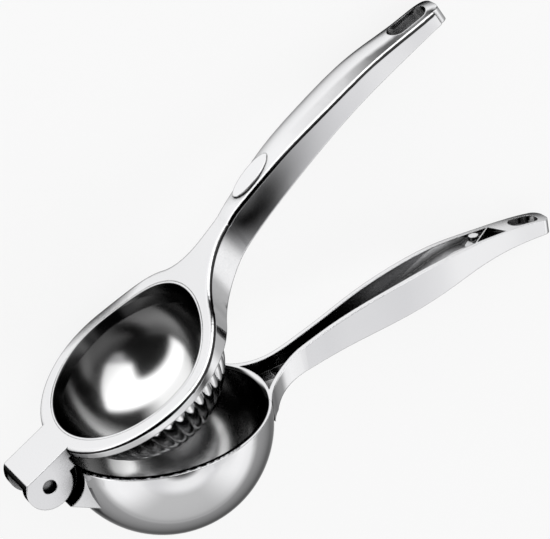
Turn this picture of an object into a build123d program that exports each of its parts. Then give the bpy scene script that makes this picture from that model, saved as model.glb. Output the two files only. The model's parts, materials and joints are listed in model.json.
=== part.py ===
from build123d import *
import math
import os

os.makedirs("parts", exist_ok=True)

# Bowl of the lower lever
bowl_bore_radius = 33.9
bowl_wall = 2.1
bowl_rim_rise = 1.8
hinge_reach = 8.9
rim_height = 1.35

# Drain holes in the bottom of the bowl
drain_diameter = 4.0
drain_pitch = 7.6
drain_rings = 2

# Ring of the upper lever and the fluted cup that seats in it
shut_gap = 1.5
ring_height = 3.4
ring_band = 4.7
cup_gap = 3.3
cup_lip = 0.8
cup_shoulder = 0.45
cup_wall = 1.1
flute_depth = 1.4
flute_count = 40
flute_last_latitude = 78
cup_seat_clearance = 0.05

# Hinge
pin_radius = 2.4
pin_recess = 2.0
pin_clearance = 0.06
pin_press_clearance = 0.02
tongue_wall = 1.7
tongue_width = 10.8
ear_clearance = 0.35
ear_thickness = 3.4
ear_wall = 5.6
ear_leg = 10.4
ear_leg_drop = 0.9
hood_clearance = 0.4
lug_depth = 12.6
lug_run = 5.0
lug_flare = 4.0
lug_step = 1.4
lug_clearance = 0.4

# Handles
neck_reach = 16.6
handle_length = 116.0
upper_short = 1.8
handle_rise = 20.4
upper_depth = 11.9
upper_half_width = 7.2
upper_crown = 1.7
brow_round = 1.4
lower_depth = 11.6
lower_half_width = 6.6
neck_drop = 5.4
end_gap = 1.0
channel_wall = 1.7
channel_floor = 2.2
channel_depth = 7.0
roof = 2.6
end_round = 3.2

# Stop that the levers meet on, at the end of the channel, and the shelf behind it
stop_depth = 0.8
stop_ramp = 3.6
boss_radius = 1.7
boss_proud = 0.3
boss_back = 10.6
boss_lead = 0.208
boss_off = 1.0
shelf_skew = 3.4
shelf_length = 13.2
shelf_drop = 2.2
shelf_rib = 0.8

# Hanging slots near the handle ends
upper_slot_length = 15.0
upper_slot_width = 7.4
lower_slot_length = 11.0
lower_slot_width = 6.0
slot_margin = 3.2

# Oval plate let into the upper handle
badge_length = 17.0
badge_width = 7.6
badge_thickness = 1.4
badge_seat = 1.1
badge_clearance = 0.06
badge_start = 7.4

# Opening of the levers as they lie on the table, in degrees
open_angle = 25.4

# Overrun of every cut past the face it leaves
over = 1.0

# Shares of the handle, from the neck to the end
along_shares = (0.0, 0.11, 0.23, 0.35, 0.47, 0.59, 0.71, 0.83, 1.0)
seam_shares = (0.45, 0.60, 0.75, 0.863, 0.95, 1.0, 1.0, 0.98, 0.915)
upper_depth_shares = (1.0, 0.958, 0.882, 0.798, 0.697, 0.639, 0.605, 0.521, 0.445)
upper_width_shares = (0.556, 0.653, 0.833, 0.93, 0.986, 1.0, 0.93, 0.833, 0.694)
crown_shares = (0.0, 0.47, 0.76, 0.94, 1.0, 1.0, 0.88, 0.7, 0.42)
lower_depth_shares = (0.741, 0.86, 0.97, 1.04, 1.04, 0.91, 0.715, 0.59, 0.425)
lower_width_shares = (0.652, 0.667, 0.818, 0.955, 1.0, 0.97, 0.818, 0.697, 0.652)

# Shares of the neck, from the ring to the narrowest place
top_start_share = 0.15
top_along_shares = (0.253, 0.463, 0.632, 0.8)
top_rise_shares = (0.094, 0.336, 0.577, 0.805)
seam_along_shares = (0.19, 0.56)
seam_rise_shares = (0.09, 0.46)

# Shares of the channel's places from the neck, the last at the foot of the ramp, and of its depth
channel_along_shares = (0.18, 0.36, 0.48, 0.6, 0.68)
channel_depth_shares = (0.98, 0.94, 0.79, 0.446, 0.33)

# Share of a face's normal that tells a top from an upright side
top_share = 0.5

# Shares of the fluted cup's latitudes, from the ring to its bottom
latitude_shares = (0.0, 0.17, 0.34, 0.51, 0.68, 0.85, 1.0)

# Sizes that follow
bowl_radius = bowl_bore_radius + bowl_wall
centre_x = hinge_reach + bowl_radius
bowl_y = rim_height - bowl_rim_rise
ring_low = rim_height + shut_gap
ring_top = ring_low + ring_height
crest_radius = bowl_bore_radius - cup_gap
flute_first_latitude = math.degrees(math.asin(ring_height / crest_radius))
ring_bore = math.sqrt(crest_radius ** 2 - ring_height ** 2) - cup_shoulder
cup_bore = ring_bore - cup_lip
ring_radius = ring_bore + ring_band
cup_inner = crest_radius - flute_depth - cup_wall
tongue_radius = pin_radius + tongue_wall
ear_radius = pin_radius + ear_wall
tongue_half = tongue_width / 2
slot_half = tongue_half + ear_clearance
fork_half = slot_half + ear_thickness
hood_under = tongue_radius + hood_clearance
neck_x = centre_x + bowl_radius + neck_reach
end_x = centre_x + bowl_radius + handle_length
span = end_x - neck_x
reach = end_x + bowl_radius


def stations(shares, size):
    return [share * size for share in shares]


def between(places, values, at):
    """Value at a place, on straight lines between the stations."""
    behind = max(step for step in range(len(places) - 1) if places[step] <= at)
    part_share = (at - places[behind]) / (places[behind + 1] - places[behind])
    return values[behind] + part_share * (values[behind + 1] - values[behind])


along = [neck_x + share * span for share in along_shares]
upper_along = [neck_x + share * (span - upper_short) for share in along_shares]
upper_end_x = end_x - upper_short
upper_low = stations(seam_shares, handle_rise)
upper_tall = stations(upper_depth_shares, upper_depth)
upper_edge = [low + tall for low, tall in zip(upper_low, upper_tall)]
upper_half = stations(upper_width_shares, upper_half_width)
crowns = stations(crown_shares, upper_crown)
lower_top = [height - shut_gap for height in upper_low]
lower_top[-1] -= end_gap
lower_tall = stations(lower_depth_shares, lower_depth)
lower_low = [top - tall for top, tall in zip(lower_top, lower_tall)]
lower_half = stations(lower_width_shares, lower_half_width)


def plan_solid(edges):
    """Upright prism on an outline drawn in plan."""
    return extrude(Plane.XZ * make_face(edges), amount=reach, both=True)


def side_solid(edges, half):
    """Prism across the lever on an outline drawn from the side."""
    return extrude(make_face(edges), amount=half, both=True)


def turned(radius, low, high):
    """Upright cylinder about the axis of the bowl."""
    face = Plane.XZ * Circle(radius)
    return Pos(centre_x, low, 0) * extrude(face, amount=-(high - low))


def crosswise(radius, half):
    """Cylinder along the hinge axis."""
    return extrude(Circle(radius), amount=half, both=True)


def flare(ring, x, half):
    """Radius, centre and tangent point of the arc from a round rim to the neck."""
    run = x - centre_x
    radius = (run ** 2 + half ** 2 - ring ** 2) / (2 * (ring - half))
    away = ring + radius
    touch = (centre_x + ring * run / away, ring * (half + radius) / away)
    return radius, (x, half + radius), touch


def neck_plan(ring, x, half):
    """Round rim drawn out into the neck."""
    radius, hub, touch = flare(ring, x, half)
    lean = math.atan2(touch[1] - hub[1], touch[0] - hub[0])
    if lean > 0:
        lean -= 2 * math.pi
    middle = (lean - math.pi / 2) / 2
    bend = (hub[0] + radius * math.cos(middle), hub[1] + radius * math.sin(middle))
    return [
        ThreePointArc(touch, (centre_x - ring, 0), (touch[0], -touch[1])),
        ThreePointArc(touch, bend, (x, half)),
        Line((x, half), (x, -half)),
        ThreePointArc((x, -half), (bend[0], -bend[1]), (touch[0], -touch[1])),
    ]


def leaf_plan(places, halves):
    """Leaf outline of a handle from its neck to its square end."""
    right = list(zip(places, halves))
    left = [(x, -half) for x, half in right]
    start = ((1, 0), (right[-1][0] - right[-2][0], right[-1][1] - right[-2][1]))
    ends = ((1, 0), (left[-1][0] - left[-2][0], left[-1][1] - left[-2][1]))
    return [
        Spline(right, tangents=start),
        Line(right[-1], left[-1]),
        Spline(left, tangents=ends),
        Line(left[0], right[0]),
    ]


def oval(length, width):
    """Slot outline lying along the handle."""
    return Plane.XZ * SlotOverall(length, width)


def end_corners(x, half):
    """What is taken off the two corners of a handle's square end."""
    blanks = Pos(x, 0, 0) * Box(2 * end_round, 2 * reach, 2 * half + 2 * over)
    keep = Pos(x - end_round, 0, 0) * Box(2 * end_round, 2 * reach, 2 * half - 2 * end_round)
    for side in (-1, 1):
        hub = Pos(x - end_round, 0, side * (half - end_round))
        keep += hub * extrude(Plane.XZ * Circle(end_round), amount=reach, both=True)
    return blanks - keep


# Heights of the neck, from the ring to the narrowest place
flat_x = centre_x + top_start_share * ring_radius
top_run = neck_x - flat_x
top_rise = upper_edge[0] - ring_top
top_line = [(flat_x, ring_top)]
for part_share, rise_share in zip(top_along_shares, top_rise_shares):
    top_line.append((flat_x + part_share * top_run, ring_top + rise_share * top_rise))
top_line.append((neck_x, upper_edge[0]))
seam_x = centre_x + crest_radius
seam_run = neck_x - seam_x
seam_rise = upper_low[0] - ring_low
seam_line = [(seam_x, ring_low)]
for part_share, rise_share in zip(seam_along_shares, seam_rise_shares):
    seam_line.append((seam_x + part_share * seam_run, ring_low + rise_share * seam_rise))
seam_line.append((neck_x, upper_low[0]))


def slope(line_x, line_y, at):
    return (line_x[at + 1] - line_x[at], line_y[at + 1] - line_y[at])


top_curve = Spline(top_line, tangents=((1, 0), slope(upper_along, upper_edge, 0)))
seam_curve = Spline(seam_line, tangents=((1, 0), slope(upper_along, upper_low, 0)))

# Side outline of the ring and neck, also used for the lip of the cup
front_x = -ear_radius - over
ring_side = [
    Line((front_x, ring_low), (seam_x, ring_low)),
    seam_curve,
    Line(seam_line[-1], top_line[-1]),
    top_curve,
    Line(top_line[0], (front_x, ring_top)),
    Line((front_x, ring_top), (front_x, ring_low)),
]
ring_band_body = side_solid(ring_side, reach)

# Upper lever: ring and neck
ring_body = plan_solid(neck_plan(ring_radius, neck_x, upper_half[0])) & ring_band_body

# Upper lever: handle with flat sides and a crowned top
sections = []
for x, low, edge, half, crown in zip(upper_along, upper_low, upper_edge, upper_half, crowns):
    brow = Line((x, edge, half), (x, edge, -half))
    if crown:
        brow = ThreePointArc((x, edge, half), (x, edge + crown, 0), (x, edge, -half))
    outline = [
        Line((x, low, -half), (x, low, half)),
        Line((x, low, half), (x, edge, half)),
        brow,
        Line((x, edge, -half), (x, low, -half)),
    ]
    sections.append(make_face(outline))
upper_body = ring_body + loft(sections)

# Upper lever: rounded edge along the top of the ring, the neck and the handle
brow_edges = []
for face in upper_body.faces():
    if face.normal_at().Y > top_share:
        for edge in face.outer_wire().edges():
            size = edge.bounding_box().size
            if min(size.X, size.Z) > over:
                brow_edges.append(edge)
upper_body = upper_body.fillet(brow_round, brow_edges)

# Upper lever: hollow underside of the handle
upper_slot_x = upper_end_x - slot_margin - upper_slot_length / 2
hollow_end = upper_slot_x - upper_slot_length / 2 - slot_margin
hollow = []
for x, low, edge, half in zip(upper_along, upper_low, upper_edge, upper_half):
    inner = half - channel_wall
    outline = [
        Line((x, low - over, -inner), (x, low - over, inner)),
        Line((x, low - over, inner), (x, edge - roof, inner)),
        Line((x, edge - roof, inner), (x, edge - roof, -inner)),
        Line((x, edge - roof, -inner), (x, low - over, -inner)),
    ]
    hollow.append(make_face(outline))
hollow_room = side_solid(
    [
        Line((upper_along[1], -reach), (hollow_end, -reach)),
        Line((hollow_end, -reach), (hollow_end, reach)),
        Line((hollow_end, reach), (upper_along[1], reach)),
        Line((upper_along[1], reach), (upper_along[1], -reach)),
    ],
    reach,
)
upper_hollow = loft(hollow) & hollow_room
upper_body -= upper_hollow

# Upper lever: rounded corners at the end and the hanging slot
upper_body -= end_corners(upper_end_x, upper_half[-1])
upper_slot = extrude(oval(upper_slot_length, upper_slot_width), amount=reach, both=True)
upper_body -= Pos(upper_slot_x, 0, 0) * upper_slot

# Upper lever: hood with its two ears
hood_x = centre_x - ring_bore
ear_outline = [
    Line((0, ring_top), (hood_x, ring_top)),
    Line((hood_x, ring_top), (hood_x, ring_low)),
    Line((hood_x, ring_low), (ear_leg, ring_low)),
    Line((ear_leg, ring_low), (ear_leg, -ear_leg_drop)),
    Line((ear_leg, -ear_leg_drop), (0, -ear_leg_drop)),
    Line((0, -ear_leg_drop), (0, ring_top)),
]
ears = side_solid(ear_outline, fork_half) + crosswise(ear_radius, fork_half)
cap_cut = Box(4 * ear_radius, ear_radius, 2 * fork_half + 2 * over)
ears -= Pos(0, ring_top + ear_radius / 2, 0) * cap_cut
mouth_depth = hood_under + ear_radius + over
mouth_run = max(ear_leg, centre_x - ring_radius) + over - front_x
mouth = Box(mouth_run, mouth_depth, 2 * slot_half)
ears -= Pos(front_x + mouth_run / 2, hood_under - mouth_depth / 2, 0) * mouth
ears -= crosswise(pin_radius + pin_press_clearance, fork_half + over)
upper_lever = upper_body + ears
upper_lever -= turned(ring_bore, -reach, reach)

# Oval plate and its seat in the crown of the upper handle
badge_x = neck_x + badge_start + badge_length / 2
badge_y = between(upper_along, upper_edge, badge_x)
badge_crown = between(upper_along, crowns, badge_x)
badge_slope = (upper_edge[2] - upper_edge[1]) / (upper_along[2] - upper_along[1])
badge_lean = math.degrees(math.atan(badge_slope))
badge_place = Pos(badge_x, badge_y + badge_crown, 0) * Rot(0, 0, badge_lean)
badge_shape = Plane.XZ * Ellipse(badge_length / 2, badge_width / 2)
seat_length = badge_length + 2 * badge_clearance
seat_width = badge_width + 2 * badge_clearance
seat_shape = Plane.XZ * Ellipse(seat_length / 2, seat_width / 2)
badge_floor = badge_place * Pos(0, -badge_seat, 0)
upper_lever -= badge_floor * extrude(seat_shape, amount=-(badge_seat + upper_crown + over))
badge_plate = badge_floor * extrude(badge_shape, amount=-badge_thickness)

# Fluted cup with a smooth bore
def flute_section(height, crest):
    groove = crest * (1 - flute_depth / crest_radius)
    step = 2 * math.pi / flute_count
    edges = []
    for turn in range(flute_count):
        points = []
        for radius, angle in ((groove, turn), (crest, turn + 0.5), (groove, turn + 1)):
            bearing = angle * step
            across = radius * math.sin(bearing)
            points.append((centre_x + radius * math.cos(bearing), height, across))
        edges.append(ThreePointArc(*points))
    return make_face(edges)


flutes = []
for share in latitude_shares:
    latitude = flute_first_latitude + share * (flute_last_latitude - flute_first_latitude)
    lean = math.radians(latitude)
    height = ring_top - crest_radius * math.sin(lean)
    flutes.append(flute_section(height, crest_radius * math.cos(lean)))
cup_body = loft(flutes)
lip_radius = ring_bore - cup_seat_clearance
cup_lip_body = turned(lip_radius, ring_low - over, reach) & ring_band_body
press_cup = cup_body + cup_lip_body
funnel = Cone(math.sqrt(cup_inner ** 2 - ring_height ** 2), cup_bore, ring_height)
cup_hollow = Pos(centre_x, ring_top, 0) * Sphere(cup_inner)
cup_hollow += Pos(centre_x, ring_low + ring_height / 2, 0) * Rot(-90, 0, 0) * funnel
cup_hollow += turned(cup_bore, ring_top, reach)
press_cup -= cup_hollow

# Hinge pin, pressed into the ears
hinge_pin = crosswise(pin_radius, fork_half - pin_recess)

# Lower lever: bowl
bowl = Pos(centre_x, bowl_y, 0) * Sphere(bowl_radius)
above_rim = Pos(centre_x, rim_height + reach / 2, 0) * Box(2 * reach, reach, 2 * reach)
bowl -= above_rim

# Lower lever: neck that flares into the bowl, and the handle behind it
low_slope = slope(along, lower_low, 0)
under_x = centre_x + bowl_radius
under_y = lower_low[0] - neck_drop


def lower_neck_plan(shrink):
    """Flared neck in plan, drawn in by a wall."""
    radius, hub, touch = flare(bowl_radius, neck_x, lower_half[0])
    radius += shrink
    lean = math.atan2(-hub[1], centre_x - hub[0])
    middle = (lean - math.pi / 2) / 2
    root = (hub[0] + radius * math.cos(lean), hub[1] + radius * math.sin(lean))
    bend = (hub[0] + radius * math.cos(middle), hub[1] + radius * math.sin(middle))
    half = lower_half[0] - shrink
    return [
        Line((root[0], -root[1]), root),
        ThreePointArc(root, bend, (neck_x, half)),
        Line((neck_x, half), (neck_x, -half)),
        ThreePointArc((neck_x, -half), (bend[0], -bend[1]), (root[0], -root[1])),
    ]


def lower_neck_side(lift, top):
    """Neck from the side, with its underside raised by a floor."""
    under = Spline(
        [(neck_x, lower_low[0] + lift), (under_x, under_y + lift)],
        tangents=((-low_slope[0], -low_slope[1]), (-bowl_radius, -bowl_radius)),
    )
    return [
        top,
        Line(top @ 1, (neck_x, lower_low[0] + lift)),
        under,
        Line((under_x, under_y + lift), (seam_x, under_y + lift)),
        Line((seam_x, under_y + lift), top @ 0),
    ]


neck_top = Pos(0, -shut_gap, 0) * seam_curve
neck_body = plan_solid(lower_neck_plan(0)) & side_solid(lower_neck_side(0, neck_top), reach)
under_curve = Spline(list(zip(along, lower_low)))
handle_side = [
    Spline(list(zip(along, lower_top))),
    Line((end_x, lower_top[-1]), (end_x, lower_low[-1])),
    under_curve,
    Line((neck_x, lower_low[0]), (neck_x, lower_top[0])),
]
handle_body = plan_solid(leaf_plan(along, lower_half)) & side_solid(handle_side, reach)
handle_body -= end_corners(end_x, lower_half[-1])

# Lower lever: channel along the handle, open on top, which rises to a stop near the end
lower_slot_x = end_x - slot_margin - lower_slot_length / 2
pad_x = lower_slot_x - lower_slot_length / 2 - slot_margin
boss_x = pad_x - boss_back
stop_x = boss_x - boss_lead
channel_run = (stop_x - stop_ramp - neck_x) / channel_along_shares[-1]
sky = 2 * handle_rise
floor_line = [(neck_x, lower_low[0] + channel_floor)]
for along_share, depth_share in zip(channel_along_shares, channel_depth_shares):
    floor_x = neck_x + along_share * channel_run
    floor_y = between(along, lower_top, floor_x) - depth_share * channel_depth
    floor_line.append((floor_x, floor_y))
stop_start = (stop_x, between(along, lower_top, stop_x) - stop_depth)
stop_end = (end_x, lower_top[-1] - stop_depth)
channel_side = [
    Line((neck_x, sky), floor_line[0]),
    Spline(floor_line),
    Line(floor_line[-1], stop_start),
    Line(stop_start, stop_end),
    Line(stop_end, (end_x, sky)),
    Line((end_x, sky), (neck_x, sky)),
]
inner_half = [half - channel_wall for half in lower_half]
channel = plan_solid(leaf_plan(along, inner_half)) & side_solid(channel_side, reach)
sky_line = Line((seam_x, sky), (neck_x, sky))
neck_pocket = plan_solid(lower_neck_plan(channel_wall))
neck_pocket &= side_solid(lower_neck_side(channel_floor, sky_line), reach)
neck_pocket -= turned(bowl_radius, -reach, reach)

# Lower lever: slanting shelf behind the stop, with a rib between them
shelf_y = between(along, lower_top, pad_x)
shelf_half = between(along, lower_half, pad_x)
shelf_in = shelf_half - channel_wall
shelf_far = (pad_x - shelf_skew, -shelf_in)
shelf_back = (pad_x - shelf_length, shelf_half)
shelf_plan = [
    Line(shelf_far, (pad_x, shelf_half)),
    Line((pad_x, shelf_half), shelf_back),
    Line(shelf_back, shelf_far),
]
shelf_edge = shelf_half - channel_wall / 2
shelf_slope = [
    Line((shelf_y, shelf_edge), (shelf_y - shelf_drop, -shelf_half)),
    Line((shelf_y - shelf_drop, -shelf_half), (sky, -shelf_half)),
    Line((sky, -shelf_half), (sky, shelf_edge)),
    Line((sky, shelf_edge), (shelf_y, shelf_edge)),
]
shelf = extrude(Plane.YZ * make_face(shelf_slope), amount=reach, both=True)
shelf &= plan_solid(shelf_plan)
rib_far = (shelf_far[0] - shelf_rib, shelf_far[1])
rib_back = (shelf_back[0] - shelf_rib, shelf_back[1])
beyond = [
    Line(rib_far, rib_back),
    Line(rib_back, (rib_back[0], reach)),
    Line((rib_back[0], reach), (reach, reach)),
    Line((reach, reach), (reach, -reach)),
    Line((reach, -reach), (rib_far[0], -reach)),
    Line((rib_far[0], -reach), rib_far),
]
channel -= plan_solid(beyond)
boss_top = between(along, lower_top, boss_x) + boss_proud
boss_rise = boss_proud + 2 * stop_depth
boss = Pos(boss_x, boss_top, -boss_off) * extrude(Plane.XZ * Circle(boss_radius), amount=boss_rise)

# Lower lever: lug, web and tongue at the hinge
lug_x = hinge_reach + lug_run
lug_top = rim_height - lug_step
lug_plan = [
    Line((0, fork_half), (hinge_reach - lug_run, fork_half)),
    Line((hinge_reach - lug_run, fork_half), (lug_x, fork_half + lug_flare)),
    Line((lug_x, fork_half + lug_flare), (lug_x, -fork_half - lug_flare)),
    Line((lug_x, -fork_half - lug_flare), (hinge_reach - lug_run, -fork_half)),
    Line((hinge_reach - lug_run, -fork_half), (0, -fork_half)),
    Line((0, -fork_half), (0, fork_half)),
]
web_side = [
    Line((0, tongue_radius), (lug_x, lug_top)),
    Line((lug_x, lug_top), (lug_x, -lug_depth)),
    Line((lug_x, -lug_depth), (0, -tongue_radius)),
    Line((0, -tongue_radius), (0, tongue_radius)),
]
lug_side = [
    Line((0, lug_top), (lug_x, lug_top)),
    Line((lug_x, lug_top), (lug_x, -lug_depth)),
    Line((lug_x, -lug_depth), (0, -ear_radius)),
    Line((0, -ear_radius), (0, lug_top)),
]
lug = plan_solid(lug_plan) & side_solid(lug_side, reach)
sweep_radius = math.hypot(ear_leg, ear_leg_drop) + lug_clearance
recess = crosswise(sweep_radius, fork_half + lug_flare + over)
recess -= crosswise(sweep_radius, tongue_half)
web = side_solid(web_side, tongue_half) + crosswise(tongue_radius, tongue_half)
lower_lever = bowl + neck_body + handle_body + lug - recess + web
lower_lever -= Pos(centre_x, bowl_y, 0) * Sphere(bowl_bore_radius)
lower_lever -= channel
lower_lever -= neck_pocket
lower_lever -= shelf
lower_lever += boss
lower_slot = extrude(oval(lower_slot_length, lower_slot_width), amount=reach, both=True)
lower_lever -= Pos(lower_slot_x, 0, 0) * lower_slot
lower_lever -= crosswise(pin_radius + pin_clearance, tongue_half + over)

# Lower lever: drain holes in rings about the bottom of the bowl
drill = Pos(centre_x, 0, 0) * extrude(Plane.XZ * Circle(drain_diameter / 2), amount=reach)
lower_lever -= drill
for ring in range(1, drain_rings + 1):
    count = 6 * ring
    for turn in range(count):
        bearing = 2 * math.pi * turn / count
        out = ring * drain_pitch
        lower_lever -= Pos(out * math.cos(bearing), 0, out * math.sin(bearing)) * drill

# The upper lever opens about the hinge axis
swing = Rot(0, 0, open_angle)
nodes = {
    "upper_lever": swing * upper_lever,
    "press_cup": swing * press_cup,
    "badge_plate": swing * badge_plate,
    "hinge_pin": swing * hinge_pin,
    "lower_lever": lower_lever,
}


# The tool lies on its side, on the bowl and on both handle ends
def mesh_points(shape):
    return [Vector(point.X, point.Y, point.Z) for point in shape.tessellate(mesh_step)[0]]


mesh_step = bowl_wall / 40
bowl_hub = Vector(centre_x, bowl_y, 0)
grips = [mesh_points(nodes["upper_lever"]), mesh_points(nodes["lower_lever"])]
grips = [[point for point in points if point.length > neck_x] for points in grips]
up = Vector(0, 0, 1)
for attempt in range(8):
    ends = [min(points, key=lambda point: point.dot(up)) for points in grips]
    line = (ends[0] - ends[1]).normalized()
    arm = bowl_hub - ends[1]
    arm = arm - line * arm.dot(line)
    lean = math.degrees(math.acos(bowl_radius / arm.length))
    roll = Axis((0, 0, 0), tuple(line))
    options = [arm.normalized().rotate(roll, sign * lean) for sign in (1, -1)]
    up = max(options, key=lambda option: option.Z)
table = Plane(origin=(0, 0, 0), x_dir=Vector(1, 0, 0) - up * up.X, z_dir=up)
laid = {name: shape.moved(table.location.inverse()) for name, shape in nodes.items()}
box = Compound(list(laid.values())).bounding_box()
drop = Pos(-(box.min.X + box.max.X) / 2, -(box.min.Y + box.max.Y) / 2, -box.min.Z)
hinge_place = drop * table.location.inverse()
print("hinge axis", tuple(table.to_local_coords(Vector(0, 0, 1))))
print("hinge point", tuple(hinge_place.position))
for name, shape in laid.items():
    shape = drop * shape
    print(name, len(shape.solids()), round(shape.volume, 1), shape.is_valid)
    export_step(shape, f"parts/{name}.step")
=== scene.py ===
import json
import math

import bpy
from mathutils import Matrix, Vector

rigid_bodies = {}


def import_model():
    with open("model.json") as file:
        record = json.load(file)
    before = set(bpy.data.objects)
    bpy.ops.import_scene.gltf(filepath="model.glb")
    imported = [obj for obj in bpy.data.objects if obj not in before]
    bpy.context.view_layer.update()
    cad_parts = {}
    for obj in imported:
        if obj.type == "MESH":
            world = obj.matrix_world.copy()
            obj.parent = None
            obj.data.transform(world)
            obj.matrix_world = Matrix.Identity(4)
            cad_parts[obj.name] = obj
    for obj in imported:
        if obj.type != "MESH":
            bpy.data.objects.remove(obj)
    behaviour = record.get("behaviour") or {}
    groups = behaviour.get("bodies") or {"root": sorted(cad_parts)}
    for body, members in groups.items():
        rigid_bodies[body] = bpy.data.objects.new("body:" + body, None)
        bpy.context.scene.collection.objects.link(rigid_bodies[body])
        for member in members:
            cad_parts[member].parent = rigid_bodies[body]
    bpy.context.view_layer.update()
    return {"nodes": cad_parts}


for left in list(bpy.data.objects):
    bpy.data.objects.remove(left)
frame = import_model()

# Camera at the photograph's place, with its focal length in the photograph's pixels
camera_place = Vector((-0.15799483, 0.41075487, 0.70341332))
camera_right = Vector((0.94405013, -0.1352589, 0.30078962))
camera_down = Vector((-0.26576282, -0.85205772, 0.45096315))
camera_ahead = Vector((0.19529333, -0.50567052, -0.84033198))
focal_pixels = 2500.0
photo_width = 550.0
film_width = 36.0

# Chrome
polish_tint = (0.82, 0.82, 0.83)
polish_roughness = 0.05
specular_tint = (0.2, 0.2, 0.2, 1)
wave_scale = 60.0
wave_detail = 2.0
wave_strength = 0.05
wave_height = 0.0006
smear_scale = 220.0
smear_detail = 4.0
smear_depth = 0.05
edge_radius = 0.0006
few_samples = 6

# Painted shade in recesses: how far they look for a neighbour, and the shares of open room where
# their painted tones stand
recess_reach = 0.009
recess_closed = 0.1
recess_closed_tone = 0.2
recess_fade = 0.3

# Painted dark reflection: a line where an edge turns away from the ring's flat face
ring_out = (-0.4305, 0.9018, 0.0373)
edge_line_start = (0.12, 0.22)
edge_line_end = (0.60, 0.72)
edge_painted_reflection_tone = 0.03

# Hollows of the cup and the bowl: satin, with painted shade that darkens them towards their mouths
cup_hollow = {
    "centre": (-0.0548, -0.0098, 0.0361), "axis": (0.4305, -0.9018, -0.0373),
    "radius": 0.0285, "bore": 0.02925, "lip": 0.0033,
    "mouth": 0.08, "bottom": 0.82, "depth": 0.023, "satin": 0.08}
bowl_hollow = {
    "centre": (-0.0476, -0.0352, 0.0361), "axis": (0.0120, -0.9983, 0.0568),
    "radius": 0.0339, "bore": 0.03395, "lip": 0.0002,
    "mouth": 0.10, "bottom": 0.75, "depth": 0.036, "satin": 0.08,
    "rim_level": -0.00186, "rim_radius": 0.0350}
mouth_share = 0.1
ball_fade = 0.0003
bore_fade = 0.0001
lip_fade = 0.0002
# Painted dark reflection along the inner edge of the bowl's rim
rim_painted_reflection_tone = 0.02
rim_line_half = 0.0003
rim_line_fade = 0.0006

# Levels of the room
wall_grey = 0.6
wall_pale = 1.0
front_light = 1.6
ground_pale = 1.1
ground_grey = 0.4
ground_dark = 0.02
cloth_black = 0.01
white = 1.0

# Floor
floor_half = 8.0
floor_grey = 0.9
floor_white_share = 0.85

# Places of sockets that share one name
mix_share, mix_under, mix_over, mix_out = 0, 6, 7, 2
range_value, range_start, range_stop = 0, 1, 2


class Wire:
    """An output of a node that can stand in a sum."""

    def __init__(self, tree, socket):
        self.tree = tree
        self.socket = socket

    def join(self, operation, first, second):
        return node(self.tree, "ShaderNodeMath", {"operation": operation}, {0: first, 1: second})

    def __add__(self, other):
        return self.join("ADD", self, other)

    def __radd__(self, other):
        return self.join("ADD", other, self)

    def __sub__(self, other):
        return self.join("SUBTRACT", self, other)

    def __rsub__(self, other):
        return self.join("SUBTRACT", other, self)

    def __mul__(self, other):
        return self.join("MULTIPLY", self, other)

    def __rmul__(self, other):
        return self.join("MULTIPLY", other, self)


def node(tree, kind, settings=None, inputs=None, out=0):
    """Adds a node: its settings first, then its sockets' values or links."""
    made = tree.nodes.new(kind)
    for name, value in (settings or {}).items():
        if name == "stops":
            ramp = made.color_ramp
            while len(ramp.elements) < len(value):
                ramp.elements.new(1.0)
            for stop, (place, colour) in zip(ramp.elements, value):
                stop.position = place
                stop.color = colour
        else:
            setattr(made, name, value)
    for name, value in (inputs or {}).items():
        if isinstance(value, Wire):
            tree.links.new(value.socket, made.inputs[name])
        else:
            made.inputs[name].default_value = value
    return Wire(tree, made.outputs[out]) if made.outputs else made


def vector(operation, first, second=None, out="Vector"):
    """A sum on vectors, which gives a vector or a value."""
    inputs = {0: first} if second is None else {0: first, 1: second}
    return node(first.tree, "ShaderNodeVectorMath", {"operation": operation}, inputs, out)


def dot(first, second):
    return vector("DOT_PRODUCT", first, second, "Value")


def step(value, start, stop):
    """0 up to a start, 1 from a stop, smooth between them."""
    return node(value.tree, "ShaderNodeMapRange", {"interpolation_type": "SMOOTHSTEP"}, {
        range_value: value, range_start: start, range_stop: stop})


def grey(level):
    return (level, level, level, 1)


def lay(under, over, share):
    """Lays one tone over another, by a share. A tone is a colour or the level of a grey."""
    under, over = (grey(tone) if isinstance(tone, float) else tone for tone in (under, over))
    return node(share.tree, "ShaderNodeMix", {"data_type": "RGBA"}, {
        mix_share: share, mix_under: under, mix_over: over}, mix_out)


def new_material(name):
    material = bpy.data.materials.new(name)
    material.use_nodes = True
    material.node_tree.nodes.clear()
    return material, material.node_tree


def finish_material(tree, shader):
    node(tree, "ShaderNodeOutputMaterial", None, {"Surface": shader})


def hollow_parts(place, hollow):
    """Finds the inside of a round hollow, the depth in it and the line of its rim, where a dark
    reflection is painted.
    """
    radius, bore, lip = hollow["radius"], hollow["bore"], hollow["lip"]
    off = vector("SUBTRACT", place, hollow["centre"])
    away = vector("LENGTH", off, out="Value")
    drop = dot(off, hollow["axis"])
    ball = 1 - step(away, radius, radius + ball_fade)
    across = away * away - drop * drop
    wall = 1 - step(across, bore ** 2, (bore + bore_fade) ** 2)
    wall = wall * (1 - step(drop, lip - lip_fade, lip))
    inside = ball + wall - ball * wall
    line = None
    if "rim_level" in hollow:
        rise = drop - hollow["rim_level"]
        line = 1 - step(away, hollow["rim_radius"], hollow["rim_radius"] + ball_fade)
        line = line * (1 - step(rise * rise, rim_line_half ** 2, rim_line_fade ** 2))
    return inside, drop, line


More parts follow.
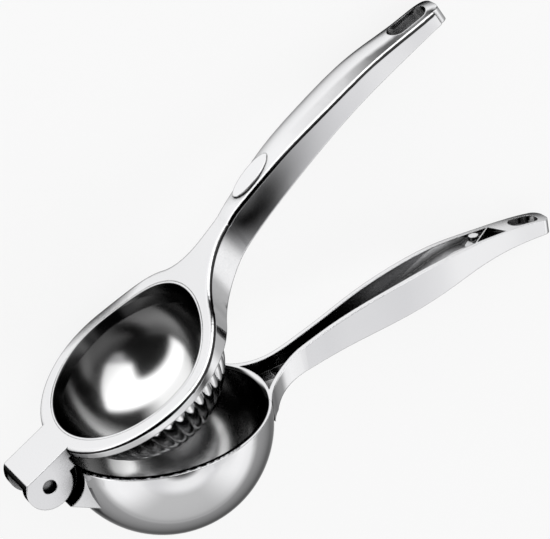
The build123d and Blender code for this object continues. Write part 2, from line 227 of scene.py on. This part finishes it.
def chrome(name, tint=polish_tint, roughness=polish_roughness, recess=0.5, recess_painted_shade=0.1,
           edge_line=None, hollow=None):
    """Polished chrome with soft waves from the polishing wheel, and painted shade that darkens its
    recesses.
    """
    material, tree = new_material(name)
    place = node(tree, "ShaderNodeTexCoord", out="Object")
    waves = node(tree, "ShaderNodeTexNoise", None, {
        "Vector": place, "Scale": wave_scale, "Detail": wave_detail})
    smears = node(tree, "ShaderNodeTexNoise", None, {
        "Vector": place, "Scale": smear_scale, "Detail": smear_detail})
    rounded = node(tree, "ShaderNodeBevel", {"samples": few_samples}, {"Radius": edge_radius})
    surface = node(tree, "ShaderNodeBump", None, {
        "Strength": wave_strength, "Distance": wave_height, "Height": waves, "Normal": rounded})
    # Painted shade in recesses and close to other parts: the less room is open around a point, the
    # darker its colour
    open_share = node(tree, "ShaderNodeAmbientOcclusion", {"samples": few_samples}, {
        "Distance": recess_reach}, "AO")
    shade = node(tree, "ShaderNodeValToRGB", {"stops": (
        (recess_closed, grey(recess_painted_shade * recess_closed_tone)), (recess, grey(recess_painted_shade)),
        (min(recess + recess_fade, 1.0), (*tint, 1)))}, {0: open_share})
    dull = roughness + smear_depth * smears
    # Painted dark reflection along the rounded edges that turn away from the ring's face
    if edge_line:
        facing = dot(node(tree, "ShaderNodeTexCoord", out="Normal"), edge_line)
        line = step(facing, *edge_line_start) * (1 - step(facing, *edge_line_end))
        shade = lay(shade, edge_painted_reflection_tone, line)
    if hollow:
        inside, drop, line = hollow_parts(place, hollow)
        # Painted shade inside the hollow, darker towards its mouth, with satin roughness there
        deeper = step(drop, mouth_share * hollow["depth"], hollow["depth"])
        shade = lay(shade, lay(hollow["mouth"], hollow["bottom"], deeper), inside)
        dull = dull + hollow["satin"] * inside
        # Painted dark reflection along the inner edge of the bowl's rim
        if line:
            shade = lay(shade, rim_painted_reflection_tone, line)
    finish_material(tree, node(tree, "ShaderNodeBsdfPrincipled", None, {
        "Base Color": shade, "Metallic": 1.0, "Roughness": dull, "Normal": surface,
        "Specular Tint": specular_tint}))
    return material


finishes = {
    "upper_lever": chrome("upper_lever_chrome", recess=0.75, recess_painted_shade=0.02, edge_line=ring_out),
    "press_cup": chrome("press_cup_chrome", recess=0.12, hollow=cup_hollow),
    "lower_lever": chrome("lower_lever_chrome", recess=0.6, hollow=bowl_hollow),
    "badge_plate": chrome("badge_chrome", tint=(0.86, 0.86, 0.87), roughness=0.04),
    "hinge_pin": chrome("pin_steel", tint=(0.55, 0.55, 0.56), roughness=0.25)}
for name, item in frame["nodes"].items():
    item.data.materials.clear()
    item.data.materials.append(finishes[name])

lens = bpy.data.cameras.new("camera")
lens.sensor_width = film_width
lens.lens = focal_pixels * film_width / photo_width
camera = bpy.data.objects.new("camera", lens)
bpy.context.scene.collection.objects.link(camera)
turn = Matrix((camera_right, -camera_down, -camera_ahead)).transposed().to_4x4()
camera.matrix_world = Matrix.Translation(camera_place) @ turn
bpy.context.scene.camera = camera
bpy.context.scene.view_settings.view_transform = "Standard"

# Studio room, by direction. An azimuth is from +Y towards +X, in degrees
studio = bpy.data.worlds.new("studio")
bpy.context.scene.world = studio
studio.use_nodes = True
room = studio.node_tree
room.nodes.clear()
aim = node(room, "ShaderNodeTexCoord", out="Generated")
height = node(room, "ShaderNodeSeparateXYZ", None, {0: aim}, "Z")


def towards(azimuth, elevation):
    a, e = math.radians(azimuth), math.radians(elevation)
    return Vector((math.sin(a) * math.cos(e), math.cos(a) * math.cos(e), math.sin(e)))


def side_of(azimuth, soft):
    """1 on the side of the room that an azimuth faces, fading to 0 on the other."""
    return step(dot(aim, towards(azimuth, 0)), -soft, soft)


def above(low, high, azimuth=0, tilt=0):
    """0 under a low elevation, 1 over a high one, from a plane that tilts down to an azimuth."""
    low, high = (math.sin(math.radians(elevation)) for elevation in (low, high))
    return step(dot(aim, towards(azimuth, 90 - tilt)), low, high)


def between(first, last, soft):
    """1 from one azimuth round to another, less than half a turn on."""
    return side_of(first + 90, soft) * side_of(last - 90, soft)


# Pale walls, a greyer one low behind, a lit front and a pale patch high behind
dome = node(room, "ShaderNodeValToRGB", {"stops": (
    (0.0, grey(1.0)), (0.3, grey(1.1)), (0.62, grey(1.02)),
    (0.74, (0.8, 0.8, 0.81, 1)), (1.0, (0.72, 0.72, 0.73, 1)))}, {0: height})
low_behind = between(150, 215, 0.25) * (1 - above(40, 50))
lit_front = between(-110, 48, 0.2) * (1 - above(26, 40, -100, 12))
high_behind = between(142, 205, 0.2) * above(44, 52)
dome = lay(dome, wall_grey, low_behind)
dome = lay(dome, front_light, lit_front)
dome = lay(dome, wall_pale, high_behind)
# Pale ground, grey behind, dark at the front right and at the left
ground = 1 - above(-3, 1)
ground_behind = side_of(180, 0.5) * (1 - above(-6, 8)) * above(-50, -30)
ground_front_right = between(-14, 85, 0.3) * (1 - above(-9, -1)) * above(-46, -32)
ground_left = between(-165, -98, 0.15) * (1 - above(-36, -28)) * above(-62, -52)
dome = lay(dome, ground_pale, ground)
dome = lay(dome, ground_grey, ground_behind)
dome = lay(dome, ground_dark, ground_front_right)
dome = lay(dome, ground_dark, ground_left)
# Dark ceiling, open at the front right, and a dark screen at the front left
ceiling = above(58, 66) * (1 - between(-14, 48, 0.12) * (1 - above(72, 80)))
screen = between(-108, -18, 0.12) * above(28, 38, -100, 12)
dome = lay(dome, cloth_black, ceiling)
dome = lay(dome, cloth_black, screen)
# White where the camera sees past the floor
backdrop = lay(dome, white, node(room, "ShaderNodeLightPath", out="Is Camera Ray"))
room_light = node(room, "ShaderNodeBackground", None, {"Color": backdrop, "Strength": 1.0})
node(room, "ShaderNodeOutputWorld", None, {"Surface": room_light})


def sheet(name, half, material):
    """A flat square of the stage, about the origin."""
    mesh = bpy.data.meshes.new(name)
    corners = [(-half, -half, 0), (half, -half, 0), (half, half, 0), (-half, half, 0)]
    mesh.from_pydata(corners, [], [(0, 1, 2, 3)])
    made = bpy.data.objects.new(name, mesh)
    bpy.context.scene.collection.objects.link(made)
    made.data.materials.append(material)
    return made


def glowing(tree, level):
    return node(tree, "ShaderNodeEmission", None, {"Color": grey(white), "Strength": level})


# Pale floor that keeps the shadow. Metal sees the room's pale ground in its place
floor_paper, paper = new_material("floor_paper")
seen = (floor_white_share * node(paper, "ShaderNodeLightPath", out="Is Camera Ray")
        + floor_white_share * node(paper, "ShaderNodeLightPath", out="Is Transmission Ray"))
matt = node(paper, "ShaderNodeBsdfDiffuse", None, {"Color": grey(floor_grey)})
finish_material(paper, node(paper, "ShaderNodeMixShader", None, {
    0: seen, 1: matt, 2: glowing(paper, white)}))
floor = sheet("floor", floor_half, floor_paper)
floor.visible_glossy = False


def card(name, azimuth, elevation, distance, width, height, level, edge, roll=0, hub=(0, 0, 0)):
    """A soft-edged card that faces a point of the object, bright or dark."""
    material, tree = new_material(name)
    place = node(tree, "ShaderNodeTexCoord", out="Object")
    shares = []
    for side in ("X", "Y"):
        off = node(tree, "ShaderNodeSeparateXYZ", None, {0: place}, side)
        off = node(tree, "ShaderNodeMath", {"operation": "ABSOLUTE"}, {0: off})
        shares.append(1 - step(off, 1 - edge, 1.0))
    clear = node(tree, "ShaderNodeBsdfTransparent")
    finish_material(tree, node(tree, "ShaderNodeMixShader", None, {
        0: shares[0] * shares[1], 1: clear, 2: glowing(tree, level)}))
    made = sheet(name, 1, material)
    out = towards(azimuth, elevation)
    along = towards(azimuth + 90, 0)
    facing = Matrix((along, along.cross(out), out)).transposed()
    facing = facing @ Matrix.Rotation(math.radians(roll), 3, "Z")
    made.matrix_world = (Matrix.Translation(Vector(hub) + out * distance) @ facing.to_4x4()
                         @ Matrix.Diagonal((width / 2, height / 2, 1, 1)))
    made.visible_camera = False
    return made


card("key_light", azimuth=17, elevation=36, distance=2.0, width=2.0, height=2.3,
     level=1.7, edge=0.25)
# Dark card close over the neck of the upper handle, for the metal alone
neck_card = card("neck_card", azimuth=120.8, elevation=41.6, distance=0.078, width=0.139,
                 height=0.045, level=0.0, edge=1.0, roll=15.5, hub=(-0.0248, 0.0173, 0.0420))
neck_card.visible_diffuse = False
neck_card.visible_shadow = False
